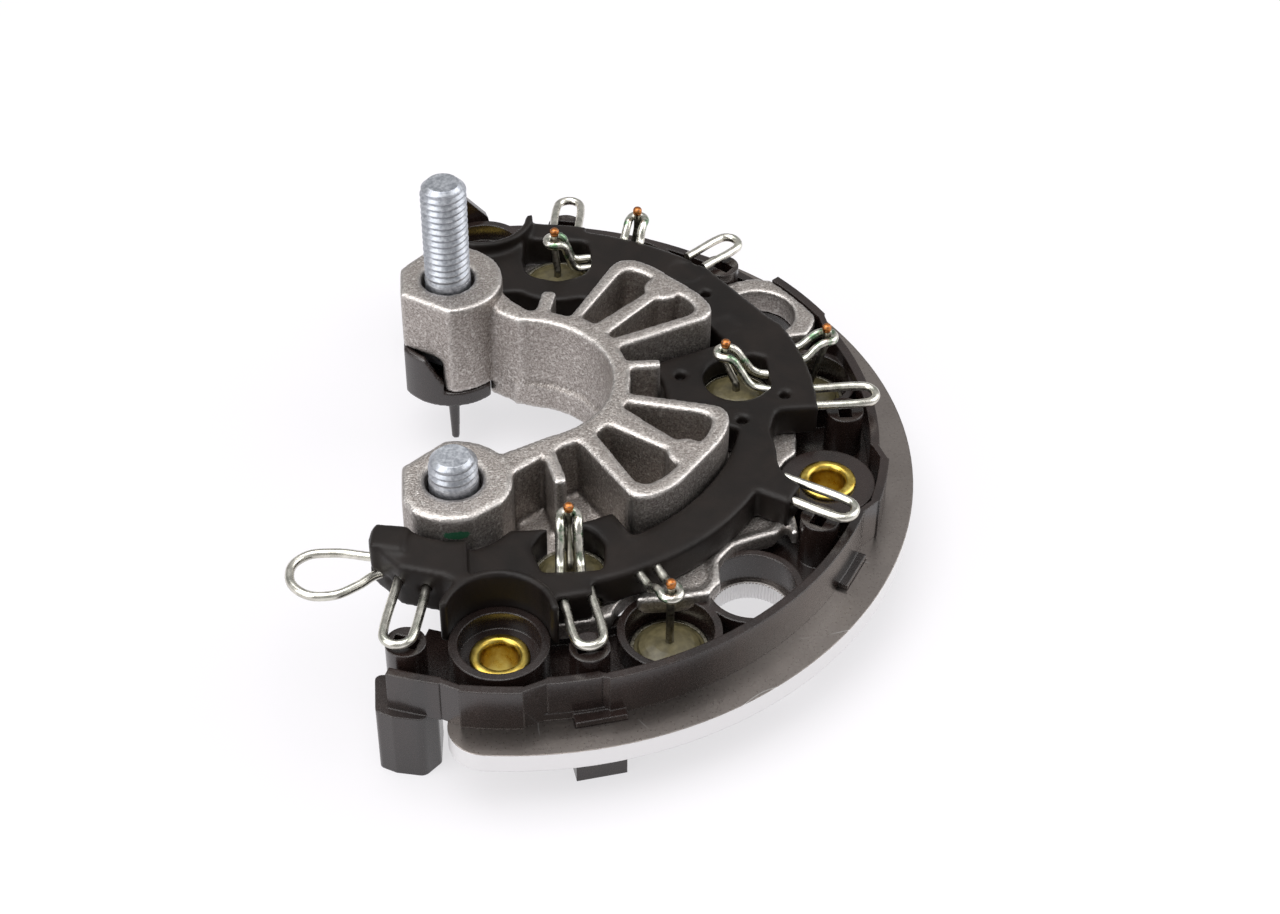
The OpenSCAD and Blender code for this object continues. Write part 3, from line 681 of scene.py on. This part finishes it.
def threaded_stud(node, boss_top):
    centre = middle(node)
    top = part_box(node)[1][2] / MM - TIP_LOWER
    start = boss_top + 0.2
    bm = bmesh.new()
    # Two turns more at each end, so that both cuts go through whole thread.
    turns = math.ceil((top - start) / PITCH) + 4
    rows = THREAD + [(THREAD[0][0], PITCH)]
    verts = [
        bm.verts.new((centre.x + r * MM, centre.y, (start - 2 * PITCH + z) * MM)) for r, z in rows
    ]
    edges = [bm.edges.new(pair) for pair in zip(verts, verts[1:])]
    bmesh.ops.spin(
        bm,
        geom=verts + edges,
        cent=(centre.x, centre.y, 0),
        axis=(0, 0, 1),
        dvec=(0, 0, PITCH / TURN_STEPS * MM),
        angle=math.tau * turns,
        steps=TURN_STEPS * turns,
    )
    bmesh.ops.remove_doubles(bm, verts=bm.verts, dist=0.01 * MM)
    for height, up in ((start, -1), (top, 1)):
        cut = bmesh.ops.bisect_plane(
            bm,
            geom=bm.verts[:] + bm.edges[:] + bm.faces[:],
            plane_co=(0, 0, height * MM),
            plane_no=(0, 0, up),
            clear_outer=True,
        )
        loop = [e for e in cut["geom_cut"] if isinstance(e, bmesh.types.BMEdge)]
        bmesh.ops.edgeloop_fill(bm, edges=loop)
    for v in bm.verts:
        z = v.co.z / MM
        out = Vector((v.co.x - centre.x, v.co.y - centre.y, 0))
        r = out.length / MM
        fade = max(0.0, 1 - (z - start) / RUN_OUT)
        wanted = min(r + (CREST_R - r) * fade, TIP_R + 0.95 * (top - z))
        v.co += out * (wanted / r - 1)
    tip = [f for f in bm.faces if f.normal.z > 0.9 and f.calc_center_median().z > (top - 0.1) * MM]
    # A shallow cup in the tip.
    bmesh.ops.inset_region(bm, faces=tip, thickness=0.45 * MM)
    bmesh.ops.inset_region(bm, faces=tip, thickness=0.5 * MM, depth=-0.2 * MM)
    profile_spin(
        bm,
        centre,
        [
            (0.0, HEAD_LOW),
            (HEAD_R - HEAD_CHAMFER, HEAD_LOW),
            (HEAD_R, HEAD_LOW + HEAD_CHAMFER),
            (HEAD_R, HEAD_HIGH),
            (SHANK_R, HEAD_HIGH),
            (SHANK_R, start - 0.1),
            (CREST_R, start + 0.15),
            (0.0, start + 0.15),
        ],
    )
    return finish_piece(
        node + "_threaded", bm, node, zinc, sharp=50, crisp_above=(top - 0.3) * MM
    )


BOSS_TOPS = {"long_stud": 20.8, "short_stud": 18.2}
for node, boss_top in BOSS_TOPS.items():
    stud = threaded_stud(node, boss_top)
    print(stud.name, len(stud.data.polygons), "faces")

# %% [markdown]
# ## Eyelets
#
# The ring and the plate are held together by tubular rivets. Their mouth is rolled outwards, so
# it catches the light as one soft bright ring. A flat chamfer would look machined, so the
# profile follows the roll with a few points and is spun smooth.


# %% Rolled eyelets
def eyelet(node):
    centre = middle(node)
    low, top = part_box(node)[0][2] / MM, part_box(node)[1][2] / MM
    mouth = [(2.8, -1.5), (2.83, -1.0), (2.95, -0.5), (3.2, -0.15), (3.55, 0.0)]
    sheared_edge_and_highlight = [(4.3, -0.14), (4.62, -0.3), (4.7, -0.55), (4.6, -0.75), (3.3, -0.75)]
    profile = [(r, top + z) for r, z in mouth + sheared_edge_and_highlight]
    foot = [(3.3, low + 0.5), (4.5, low + 0.5), (4.5, low), (2.8, low)]
    bm = bmesh.new()
    profile_spin(bm, centre, profile + foot)
    return finish_piece(node + "_rolled", bm, node, yellow, sharp=60)


for node in ("rivet_left", "rivet_right", "rivet_far"):
    print(eyelet(node).name)

# %% [markdown]
# ## Bent wires
#
# The terminals are hairpins of tinned round wire. The flat ones lie open for the stator's
# enamelled wires, the raised ones are squeezed round a diode's lead and welded, and the field
# loop at the end is a wide teardrop. Each is a smooth curve through a few points, bevelled to
# the wire's radius and then made a mesh.

# %% Wires
WIRE_R = 0.75
WIRE_Z = 11.1
ROOT = 1.8


def bent_wire(name, node, points, material, radius=WIRE_R):
    curve = bpy.data.curves.new(name, "CURVE")
    curve.dimensions = "3D"
    curve.bevel_depth = radius * MM
    curve.bevel_resolution = 5
    curve.resolution_u = 6
    curve.use_fill_caps = True
    spline = curve.splines.new("BEZIER")
    spline.bezier_points.add(len(points) - 1)
    for bend, point in zip(spline.bezier_points, points):
        bend.co = Vector(point) * MM
        bend.handle_left_type = bend.handle_right_type = "AUTO"
    ob = linked(name, curve)
    mesh = bpy.data.meshes.new_from_object(ob.evaluated_get(bpy.context.evaluated_depsgraph_get()))
    bpy.data.objects.remove(ob)
    bm = bmesh.new()
    bm.from_mesh(mesh)
    return finish_piece(name, bm, node, material, sharp=60)


def hairpin(p, q, tip, z_end=None, half=None, run=2.0):
    """Points of a wire from p, round the point tip, and back to q. With half, the legs are
    drawn together to that half width and rise to z_end."""
    p, q, tip = Vector(p), Vector(q), Vector(tip)
    m = (p + q) / 2
    along = (tip - m).normalized()
    side = Vector((-along.y, along.x))
    h = (p - m).dot(side)
    k = h if half is None else math.copysign(half, h)
    top = WIRE_Z if z_end is None else z_end
    leg = []
    leg.append((m + side * h - along * ROOT, WIRE_Z))
    leg.append((m + side * h, WIRE_Z))
    if half is not None:
        leg.append((m + side * (h * 0.75 + k * 0.25) + along * run, WIRE_Z + 0.2))
        leg.append((m.lerp(tip, 0.6) + side * k, (WIRE_Z + top) / 2 + 0.4))
        leg.append((tip + side * k - along * run * 0.6, top - 0.1))
    leg.append((tip + side * k, top))
    turn = []
    for step in range(1, 6):
        a = math.pi * step / 6
        turn.append((tip + side * k * math.cos(a) + along * abs(k) * math.sin(a), top))
    back = [(point - side * 2 * (point - m).dot(side), z) for point, z in reversed(leg)]
    return [(point.x, point.y, z) for point, z in leg + turn + back]


STATOR_LOOPS = [
    ((7.7, 48), (12.1, 47.6), (11.3, 57)),
    ((33, 41.4), (36, 38.4), (39.4, 43.8)),
    ((43.4, -20.6), (41.2, -24.4), (50.2, -27.8)),
    ((4.7, -44.6), (9.1, -44.4), (8.2, -53)),
    ((48.9, 2), (48.9, -2.4), (57.8, 0)),
    ((-20.2, -38.6), (-15.8, -40), (-20.4, -50.6)),
]
for i, (p, q, tip) in enumerate(STATOR_LOOPS, 1):
    bent_wire(f"stator_wire_{i}", f"stator_loop_{i}", hairpin(p, q, tip), tinned)

lead = middle("negative_lead_1") / MM
WELD_LOOPS = [
    ((17.4, -41.8), (20.2, -40.6), (lead.x, lead.y), 13.5),
    ((46.8, 12.6), (47.4, 9.2), (53.2, 12.8), 13.5),
    ((22.9, 43.2), (20.1, 44.6), (23.4, 49), 13.5),
    ((13.6, 41.2), (13.4, 38.2), (7.8, 39.4), 16.5),
    ((41.8, 2.4), (41.8, 6.6), (35, 6.6), 16.0),
    ((4.5, -39.8), (7.9, -39.8), (6.3, -33), 17.0),
]
for i, (p, q, tip, z) in enumerate(WELD_LOOPS, 1):
    bent_wire(f"weld_wire_{i}", f"weld_loop_{i}", hairpin(p, q, tip, z, 1.42), tinned)
    bm = bmesh.new()
    melted = [(0, 0), (0.72, 0), (0.82, 0.5), (0.78, 1.0), (0.5, 1.3), (0, 1.35)]
    profile_spin(bm, Vector(tip).to_3d() * MM, [(r, z + 1.4 + h) for r, h in melted], 16)
    bmesh.ops.remove_doubles(bm, verts=bm.verts, dist=1e-6)
    bmesh.ops.recalc_face_normals(bm, faces=bm.faces)
    mesh = as_mesh("tip", bm)
    mesh.shade_smooth()
    place_piece(f"copper_tip_{i}", mesh, f"weld_loop_{i}", copper, replace=False)

TEARDROP = [
    (-21.4, -32.7),
    (-24.1, -32.3),
    (-31.0, -30.9),
    (-35.3, -31.6),
    (-37.3, -34.9),
    (-35.4, -39.3),
    (-31.0, -40.4),
    (-26.6, -38.4),
    (-24.1, -36.4),
    (-21.6, -35.6),
]
bent_wire("field_wire", "field_loop", [(x, y, 9.6) for x, y in TEARDROP], tinned)
print("bent", len(STATOR_LOOPS) + len(WELD_LOOPS) + 1, "wires")

# %% [markdown]
# ## Softened castings and mouldings
#
# A die casting has no sharp edge anywhere: metal doesn't fill a sharp corner of the mould, and
# tumbling rubs off what is left. Bevels on a solid with so many meeting walls leave bad corners,
# so the solid is copied, flats and marks are cut with Boolean, and a voxel remesh with a few
# smoothing passes rounds every edge and fillets every inner corner at once.


# %% Remesh helpers
def merged_copy(node):
    bm = bmesh.new()
    bm.from_mesh(nodes[node].data)
    bmesh.ops.remove_doubles(bm, verts=bm.verts, dist=1e-7)
    return bm


def turned_box(bm, centre, size, turn=0.0):
    """Adds a box to bm: its centre and size in mm, turned about its upright in degrees."""
    place = Matrix.Translation(Vector(centre) * MM) @ turned(turn, "Z")
    scale = Matrix.Diagonal(Vector(size) * MM).to_4x4()
    bmesh.ops.create_cube(bm, size=1, matrix=place @ scale)


def disc(bm, centre, radius, height):
    bmesh.ops.create_cone(
        bm,
        cap_ends=True,
        segments=24,
        radius1=radius * MM,
        radius2=radius * MM,
        depth=height * MM,
        matrix=Matrix.Translation(Vector(centre) * MM),
    )


def softened(name, node, added, cutter, voxel, passes, material):
    """The bmesh added, less the bmesh cutter, remeshed and smoothed, in the node's place."""
    ob = linked(name, as_mesh(name, added))
    tool = linked("cutter", as_mesh("cutter", cutter))
    boolean = ob.modifiers.new("cut", "BOOLEAN")
    boolean.operation, boolean.solver, boolean.object = "DIFFERENCE", "EXACT", tool
    boolean.use_self = True
    remesh = ob.modifiers.new("remesh", "REMESH")
    remesh.mode, remesh.voxel_size = "VOXEL", voxel * MM
    final = bpy.data.meshes.new_from_object(ob.evaluated_get(bpy.context.evaluated_depsgraph_get()))
    bpy.data.objects.remove(ob)
    bpy.data.objects.remove(tool)
    bm = bmesh.new()
    bm.from_mesh(final)
    for _ in range(passes):
        bmesh.ops.smooth_vert(
            bm, verts=bm.verts, factor=0.5, use_axis_x=True, use_axis_y=True, use_axis_z=True
        )
    return finish_piece(name, bm, node, material, sharp=180, merge=1e-8)


print("heat sink copy has", len(merged_copy("positive_heat_sink").faces), "triangles")

# %% [markdown]
# ## Heat sink
#
# The two stud bosses are turned forms with cast flats, where a spanner or a die slide meets
# them. Each flat is a box that is cut away, given by the way it faces and how far it lies from
# the boss's middle. The hub's bore shows where the mould's halves met: below that line it is a
# little tighter.

# %% Cast heat sink
# By side: the bosses' (x, y, top), and each flat's (direction, distance from the middle).
BOSSES = {
    1: (-11.3, 24.3, BOSS_TOPS["long_stud"]),
    -1: (-11.3, -24.3, BOSS_TOPS["short_stud"]),
}
FLATS = {
    1: [(236.3, 7.9), (136.0, 8.1)],
    -1: [(210.0, 9.1), (304.8, 8.95), (130.0, 8.0)],
}
FLAT_BOX = Vector((6, 11, 22))
HUB_R, HUB_LOW, SEAM_Z, SEAM_LEDGE = 15.3, -1.0, 3.9, 0.7
SEAM_SPAN, SEAM_FADE = 186, 14
# The shelf before the frame, near the spare seat, with a low lip along its outer edge.
FLANGE_TOP, FLANGE_T = 6.6, 3.4
LIP_WIDTH, LIP_HEIGHT, LIP_OVERLAP = 1.3, 2.6, 1.2
LIP = [
    (16.8, -41.6),
    (20.6, -41.6),
    (24.2, -41.3),
    (27.2, -40.9),
    (29.1, -38.5),
    (29.4, -33.7),
    (32.2, -30.4),
    (35.8, -29.1),
    (39.5, -28.0),
    (41.4, -25.5),
    (42.6, -23.7),
    (42.9, -28.2),
]
UNDER_FRAME = [(35.7, -19.9), (17.8, -29.3)]

solid = merged_copy("positive_heat_sink")
ledge_in, ledge_out = HUB_R - SEAM_LEDGE, HUB_R + 1
below_seam = [
    (ledge_in, HUB_LOW),
    (ledge_out, HUB_LOW),
    (ledge_out, SEAM_Z),
    (ledge_in, SEAM_Z),
]
first = turned(-SEAM_SPAN / 2, "Z")
verts = [solid.verts.new(first @ Vector((r * MM, 0, z * MM))) for r, z in below_seam]
solid.faces.new(verts[::-1])
bmesh.ops.spin(
    solid,
    geom=[verts[0].link_faces[0]],
    cent=(0, 0, 0),
    axis=(0, 0, 1),
    angle=math.radians(SEAM_SPAN),
    steps=48,
)
for v in solid.verts:
    away = Vector((v.co.x, v.co.y, 0))
    if away.length < (HUB_R - 0.3) * MM and v.co.z < (SEAM_Z + 0.01) * MM:
        left = SEAM_SPAN / 2 - abs(math.degrees(math.atan2(v.co.y, v.co.x)))
        v.co += away.normalized() * (1 - min(1, left / SEAM_FADE)) * MM
sheared_edge_and_highlight = [solid.verts.new((x * MM, y * MM, FLANGE_TOP * MM)) for x, y in LIP[:-1] + UNDER_FRAME]
shelf = solid.faces.new(sheared_edge_and_highlight)
down = bmesh.ops.extrude_face_region(solid, geom=[shelf], use_keep_orig=True)["geom"]
down = [v for v in down if isinstance(v, bmesh.types.BMVert)]
bmesh.ops.translate(solid, verts=down, vec=(0, 0, -FLANGE_T * MM))
bmesh.ops.recalc_face_normals(solid, faces=list({f for v in sheared_edge_and_highlight + down for f in v.link_faces}))
for (x0, y0), (x1, y1) in zip(LIP, LIP[1:]):
    run = Vector((x1 - x0, y1 - y0))
    facing = math.degrees(math.atan2(run.y, run.x))
    mid = ((x0 + x1) / 2, (y0 + y1) / 2, FLANGE_TOP - 0.7)
    turned_box(solid, mid, (run.length + LIP_OVERLAP, LIP_WIDTH, LIP_HEIGHT), facing)
# Above the flats' middle the box ends past the boss's top, so each flat is open upwards.
cuts = bmesh.new()
for side, flats in FLATS.items():
    x, y, top = BOSSES[side]
    for facing, distance in flats:
        a = math.radians(facing)
        reach = distance + FLAT_BOX.x / 2
        centre = (x + reach * math.cos(a), y + reach * math.sin(a), top - 8)
        turned_box(cuts, centre, FLAT_BOX, facing)
sink = softened("soft_heat_sink", "positive_heat_sink", solid, cuts, 0.47, 3, casting)
print("heat sink", len(sink.data.polygons), "faces")

# %% [markdown]
# ## Terminal frame
#
# The black frame is moulded in glass-filled nylon. Its corners are softer than the ring's, and
# its top carries small ejector marks and sink marks, which are cut into the copy before the
# remesh.

# %% Moulded frame
FRAME_TOP = 12.5
# The end block's second lobe, as a box: centre, size and turn.
END_LOBE = ((-21.6, -34.0, 12.9), (5.4, 5.2, 5.6), -12)
PIN_HOLES = [(33.8, 27.8), (27.3, 5.5), (44.4, -0.6), (36.5, -6.6)]
PIN_HOLE_R, PIN_HOLE_DEPTH = 0.95, 2.0
# Each groove as (x, y, length, turn).
GROOVES = [
    (42.9, 15.9, 7.6, 8),
    (36.6, -3.5, 8.5, -3),
    (40.2, 26.0, 12.6, -55),
    (16.1, -34.6, 10.8, -89),
]
GROOVE_WIDTH = 0.6

frame_solid = merged_copy("terminal_frame")
turned_box(frame_solid, *END_LOBE)
marks = bmesh.new()
for x, y in PIN_HOLES:
    disc(marks, (x, y, FRAME_TOP), PIN_HOLE_R, 2 * PIN_HOLE_DEPTH)
# A round sink mark and a square one.
disc(marks, (30.9, 34.7, FRAME_TOP + 0.1), 3.4, 1.2)
turned_box(marks, (36.3, 18.5, FRAME_TOP + 0.2), (4.6, 4.6, 1.0), 25)
for x, y, length, facing in GROOVES:
    turned_box(marks, (x, y, FRAME_TOP + 0.1), (length, GROOVE_WIDTH, 1.2), facing)
moulded = softened("soft_frame", "terminal_frame", frame_solid, marks, 0.42, 4, frame_plastic)
print("frame", len(moulded.data.polygons), "faces")

# %% [markdown]
# ## Stud caps
#
# A black cap holds each stud's head from below. Its half wall isn't a plain half round: its
# front end slopes, so the steel head shows beside it. A wedge is cut from the copy, and a light
# remesh softens the moulded edges.


# %% Moulded caps
def wedge(bm, corners, y_from, y_to):
    """A prism between two depths, given by its corners (x, z) in mm."""
    verts = [bm.verts.new((x * MM, y_from * MM, z * MM)) for x, z in corners]
    side = bm.faces.new(verts)
    moved = bmesh.ops.extrude_face_region(bm, geom=[side])["geom"]
    moved = [v for v in moved if isinstance(v, bmesh.types.BMVert)]
    bmesh.ops.translate(bm, verts=moved, vec=(0, (y_to - y_from) * MM, 0))
    bmesh.ops.recalc_face_normals(bm, faces=bm.faces)


SLOPE = [(-16.4, 10), (-12, 10), (-12, 4.6), (-12.9, 4.6)]
for node in ("long_stud_cap", "short_stud_cap"):
    centre = middle(node.replace("_cap", "")) / MM
    slope = bmesh.new()
    wedge(slope, SLOPE, centre.y - 12, centre.y - 3)
    cap = softened("soft_" + node, node, merged_copy(node), slope, 0.3, 2, ring_plastic)
    print(cap.name, len(cap.data.polygons), "faces")

# %% [markdown]
# ## Knurled seat
#
# One diode seat of the plate is empty, so its knurled bore shows. Every second point of a
# circle is drawn in a little, which makes the teeth, and the ring is given its depth by an
# extrusion.

# %% Spare seat
SEAT, SEAT_R, SEAT_WALL = Vector((34.79, -38.64)), 6.35, 0.3
TEETH, TOOTH_SHARE = 72, 0.035
SEAT_LOW, SEAT_HIGH = -3.4, -0.1
bm = bmesh.new()
place = Matrix.Translation((SEAT.x * MM, SEAT.y * MM, SEAT_LOW * MM))
inner = bmesh.ops.create_circle(bm, segments=2 * TEETH, radius=SEAT_R * MM, matrix=place)["verts"]
for v in inner[::2]:
    v.co = v.co.lerp(place.translation, TOOTH_SHARE)
outer_r = (SEAT_R + SEAT_WALL) * MM
bmesh.ops.create_circle(bm, segments=2 * TEETH, radius=outer_r, matrix=place)
floor_ring = bmesh.ops.bridge_loops(bm, edges=bm.edges[:])["faces"]
raised = bmesh.ops.extrude_face_region(bm, geom=floor_ring, use_keep_orig=True)["geom"]
raised = [v for v in raised if isinstance(v, bmesh.types.BMVert)]
bmesh.ops.translate(bm, verts=raised, vec=(0, 0, (SEAT_HIGH - SEAT_LOW) * MM))
bmesh.ops.recalc_face_normals(bm, faces=bm.faces)
mesh = as_mesh("knurled_seat", bm)
place_piece("knurled_seat", mesh, "negative_plate", sheet, replace=False)
print("knurl teeth", TEETH)

# %% [markdown]
# ## View settings
#
# The Standard view shows a colour as it is written.

# %% Finish
bpy.context.scene.view_settings.view_transform = "Standard"
